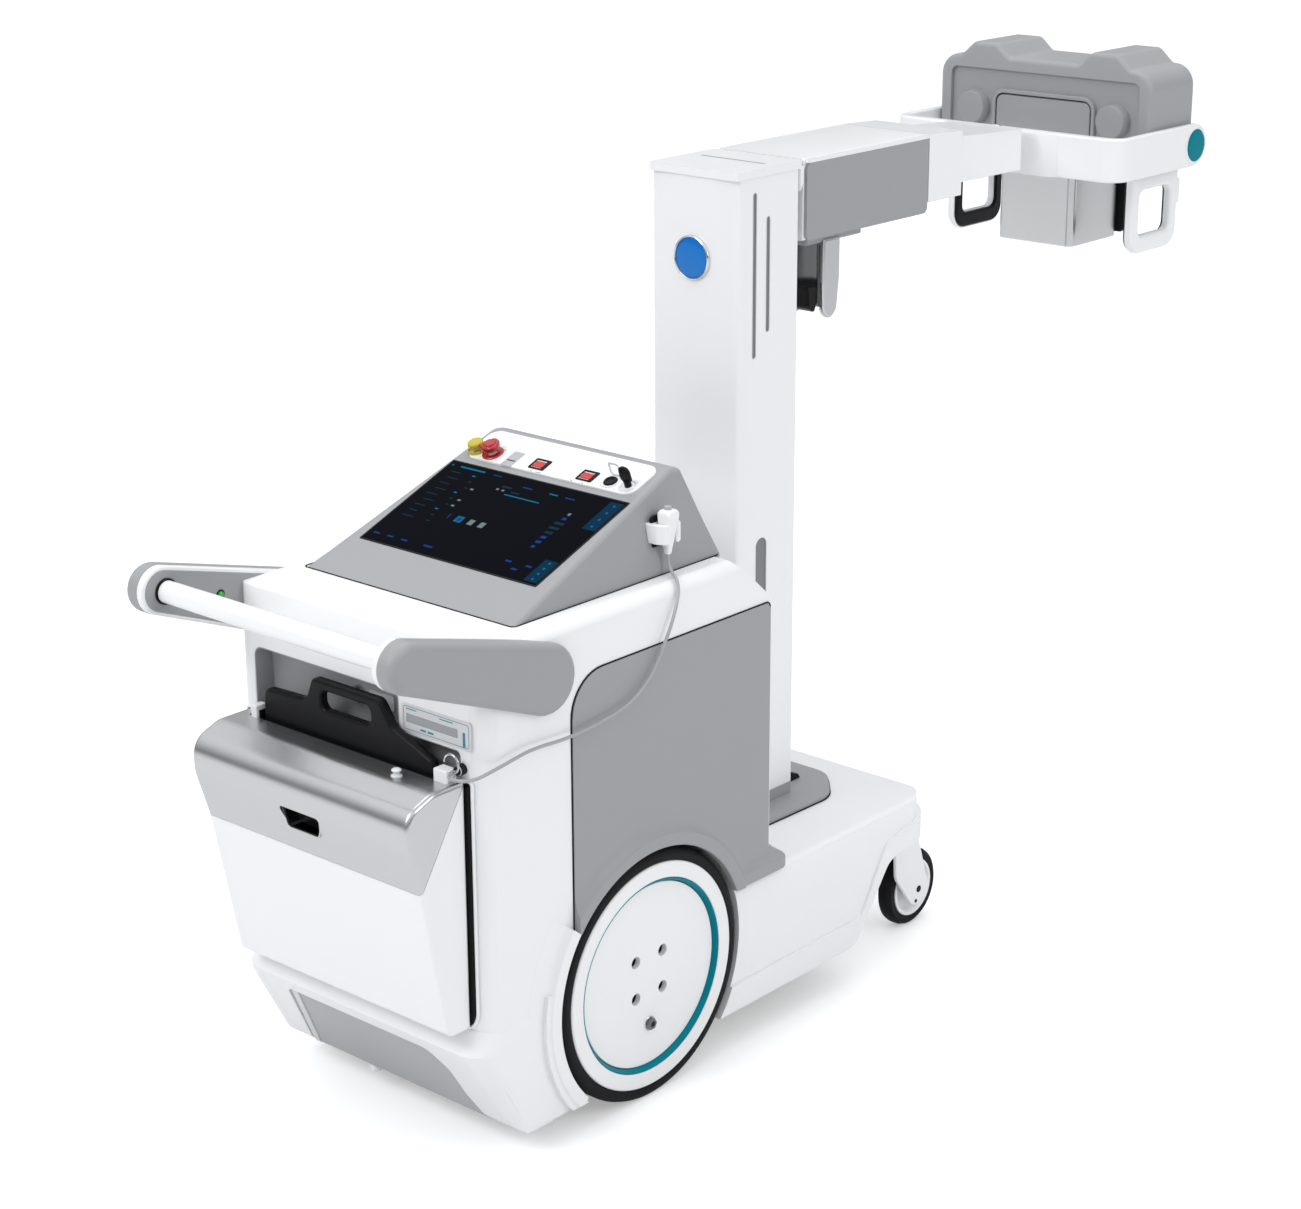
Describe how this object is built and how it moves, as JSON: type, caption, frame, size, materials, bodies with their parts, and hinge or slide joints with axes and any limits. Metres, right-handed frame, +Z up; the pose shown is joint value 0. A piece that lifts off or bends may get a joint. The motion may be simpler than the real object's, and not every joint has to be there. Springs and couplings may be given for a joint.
{
  "type": "mobile x-ray machine",
  "caption": "Motor-driven mobile x-ray cart: sloping console, push handle, detector bin, turning column, telescopic arm, fork and tilting tube head with collimator.",
  "frame": {"origin": "on the floor under the middle of the machine's bounding box, drive wheels behind it", "axes": "+X forward from the push handle to the tube head, +Y left, +Z up"},
  "size_m": [2.241, 0.6, 1.557],
  "materials": {
    "white_plastic": "gloss",
    "white_metal": "satin",
    "grey_plastic": "satin",
    "grey_metal": "satin",
    "frame_steel": "matte",
    "silver": "satin",
    "silver_metal": "satin",
    "polished": "polished",
    "tyre": "matte",
    "black_plastic": "satin",
    "cell": "matte",
    "generator": "satin",
    "screen_glass": "gloss",
    "red": "gloss",
    "yellow": "gloss",
    "teal": "gloss",
    "cord_grey": "satin",
    "wheel_white": "satin",
    "rim": "satin",
    "motor": "satin"
  },
  "bodies": {
    "chassis": {"chassis_frame": "frame_steel", "base_cover": "white_plastic", "rear_casing": "white_plastic", "side_panels": "grey_plastic", "rear_bumper": "grey_plastic", "deck_plate": "grey_plastic", "slewing_bearing": "polished", "battery_pack": "cell", "hv_generator": "generator", "drive_motors": "motor", "console_housing": "grey_plastic", "touch_screen": "screen_glass", "control_strip": "white_plastic", "handle_bar": "white_metal", "handle_arms": "white_plastic", "handle_covers": "grey_plastic", "handswitch_holder": "white_plastic", "handswitch_body": "white_plastic", "handswitch_cord": "cord_grey"},
    "column": {"column_foot": "grey_metal", "column_shell": "white_metal", "column_cap": "white_plastic", "counterbalance": "frame_steel"},
    "arm": {"arm_carriage": "silver_metal", "arm_housing": "white_metal", "arm_side_panels": "grey_plastic", "docking_bracket": "polished"},
    "arm_slide": {"arm_inner_tube": "silver_metal", "arm_end_block": "white_metal"},
    "fork": {"yoke_fork": "white_metal", "yoke_caps": "teal"},
    "head": {"head_housing": "grey_plastic", "head_grips": "white_plastic", "xray_tube": "silver_metal"},
    "collimator": {"collimator_housing": "silver_metal"},
    "knob_left": {"collimator_knob_left": "black_plastic"},
    "knob_right": {"collimator_knob_right": "black_plastic"},
    "lamp": {"lamp_button": "teal"},
    "bin": {"bin_shell": "white_plastic", "bin_lid": "silver"},
    "detector": {"detector_holder": "black_plastic", "detector_panel": "white_plastic"},
    "estop": {"estop_button": "red"},
    "yellow": {"yellow_button": "yellow"},
    "rocker_l": {"rocker_left": "red"},
    "rocker_r": {"rocker_right": "red"},
    "key": {"mode_key": "black_plastic"},
    "exposure": {"handswitch_button": "grey_plastic"},
    "wheel_left": {"drive_tyre_left": "tyre", "drive_rim_left": "rim", "drive_disc_left": "wheel_white"},
    "caster_left": {"caster_fork_left": "white_metal"},
    "caster_wheel_left": {"caster_wheel_left": "tyre"},
    "pedal_left": {"caster_pedal_left": "grey_metal"},
    "wheel_right": {"drive_tyre_right": "tyre", "drive_rim_right": "rim", "drive_disc_right": "wheel_white"},
    "caster_right": {"caster_fork_right": "white_metal"},
    "caster_wheel_right": {"caster_wheel_right": "tyre"},
    "pedal_right": {"caster_pedal_right": "grey_metal"}
  },
  "joints": [
    {"name": "drive_wheel_left", "type": "hinge", "parent": "chassis", "child": "wheel_left", "pos_m": [-0.5495, 0.255, 0.218], "axis": [0, 1, 0], "continuous": true},
    {"name": "caster_swivel_left", "type": "hinge", "parent": "chassis", "child": "caster_left", "pos_m": [0.2235, 0.203, 0.23], "axis": [0, 0, 1], "continuous": true},
    {"name": "caster_roll_left", "type": "hinge", "parent": "caster_left", "child": "caster_wheel_left", "pos_m": [0.2715, 0.203, 0.075], "axis": [0, 1, 0], "continuous": true},
    {"name": "caster_brake_left", "type": "hinge", "parent": "caster_left", "child": "pedal_left", "pos_m": [0.1785, 0.203, 0.15], "axis": [0, -1, 0], "range_deg": [0, 12]},
    {"name": "drive_wheel_right", "type": "hinge", "parent": "chassis", "child": "wheel_right", "pos_m": [-0.5495, -0.255, 0.218], "axis": [0, 1, 0], "continuous": true},
    {"name": "caster_swivel_right", "type": "hinge", "parent": "chassis", "child": "caster_right", "pos_m": [0.2235, -0.203, 0.23], "axis": [0, 0, 1], "continuous": true},
    {"name": "caster_roll_right", "type": "hinge", "parent": "caster_right", "child": "caster_wheel_right", "pos_m": [0.2715, -0.203, 0.075], "axis": [0, 1, 0], "continuous": true},
    {"name": "caster_brake_right", "type": "hinge", "parent": "caster_right", "child": "pedal_right", "pos_m": [0.1785, -0.203, 0.15], "axis": [0, -1, 0], "range_deg": [0, 12]},
    {"name": "column_turn", "type": "hinge", "parent": "chassis", "child": "column", "pos_m": [-0.03, 0, 0.284], "axis": [0, 0, 1], "range_deg": [-90, 90]},
    {"name": "arm_lift", "type": "slide", "parent": "column", "child": "arm", "axis": [0, 0, 1], "range_m": [-0.75, 0]},
    {"name": "arm_extend", "type": "slide", "parent": "arm", "child": "arm_slide", "axis": [1, 0, 0], "range_m": [0, 0.26]},
    {"name": "fork_roll", "type": "hinge", "parent": "arm_slide", "child": "fork", "pos_m": [0.8005, 0, 1.385], "axis": [1, 0, 0], "range_deg": [-90, 90]},
    {"name": "head_tilt", "type": "hinge", "parent": "fork", "child": "head", "pos_m": [1.0785, 0, 1.378], "axis": [0, 1, 0], "range_deg": [-90, 25]},
    {"name": "collimator_turn", "type": "hinge", "parent": "head", "child": "collimator", "pos_m": [1.0105, 0, 1.324], "axis": [0, 0, 1], "range_deg": [-45, 45]},
    {"name": "width_knob", "type": "hinge", "parent": "collimator", "child": "knob_left", "pos_m": [1.1035, 0.045, 1.216], "axis": [1, 0, 0], "range_deg": [-140, 140]},
    {"name": "length_knob", "type": "hinge", "parent": "collimator", "child": "knob_right", "pos_m": [1.1035, -0.045, 1.216], "axis": [1, 0, 0], "range_deg": [-140, 140]},
    {"name": "lamp_press", "type": "slide", "parent": "collimator", "child": "lamp", "axis": [-1, 0, 0], "range_m": [0, 0.002], "stiffness_N_per_m": 300, "springref_m": -0.001},
    {"name": "bin_tilt", "type": "hinge", "parent": "chassis", "child": "bin", "pos_m": [-0.9335, 0, 0.248], "axis": [0, -1, 0], "range_deg": [0, 8]},
    {"name": "detector_lift", "type": "slide", "parent": "bin", "child": "detector", "axis": [0, 0, 1], "range_m": [0, 0.42]},
    {"name": "estop_press", "type": "slide", "parent": "chassis", "child": "estop", "axis": [0.3616, 0, -0.9323], "range_m": [0, 0.004]},
    {"name": "yellow_press", "type": "slide", "parent": "chassis", "child": "yellow", "axis": [0.3616, 0, -0.9323], "range_m": [0, 0.004], "stiffness_N_per_m": 400, "springref_m": -0.002},
    {"name": "key_turn", "type": "hinge", "parent": "chassis", "child": "key", "pos_m": [-0.46629, -0.166, 1.01279], "axis": [-0.3616, 0, 0.9323], "range_deg": [0, 90]},
    {"name": "exposure_press", "type": "slide", "parent": "chassis", "child": "exposure", "axis": [0, 0, -1], "range_m": [0, 0.0015], "stiffness_N_per_m": 300, "springref_m": -0.001},
    {"name": "rocker_left_tip", "type": "hinge", "parent": "chassis", "child": "rocker_l", "pos_m": [-0.46448, 0.03, 1.00813], "axis": [0, 1, 0], "range_deg": [-10, 10]},
    {"name": "rocker_right_tip", "type": "hinge", "parent": "chassis", "child": "rocker_r", "pos_m": [-0.46448, -0.076, 1.00813], "axis": [0, 1, 0], "range_deg": [-10, 10]}
  ]
}
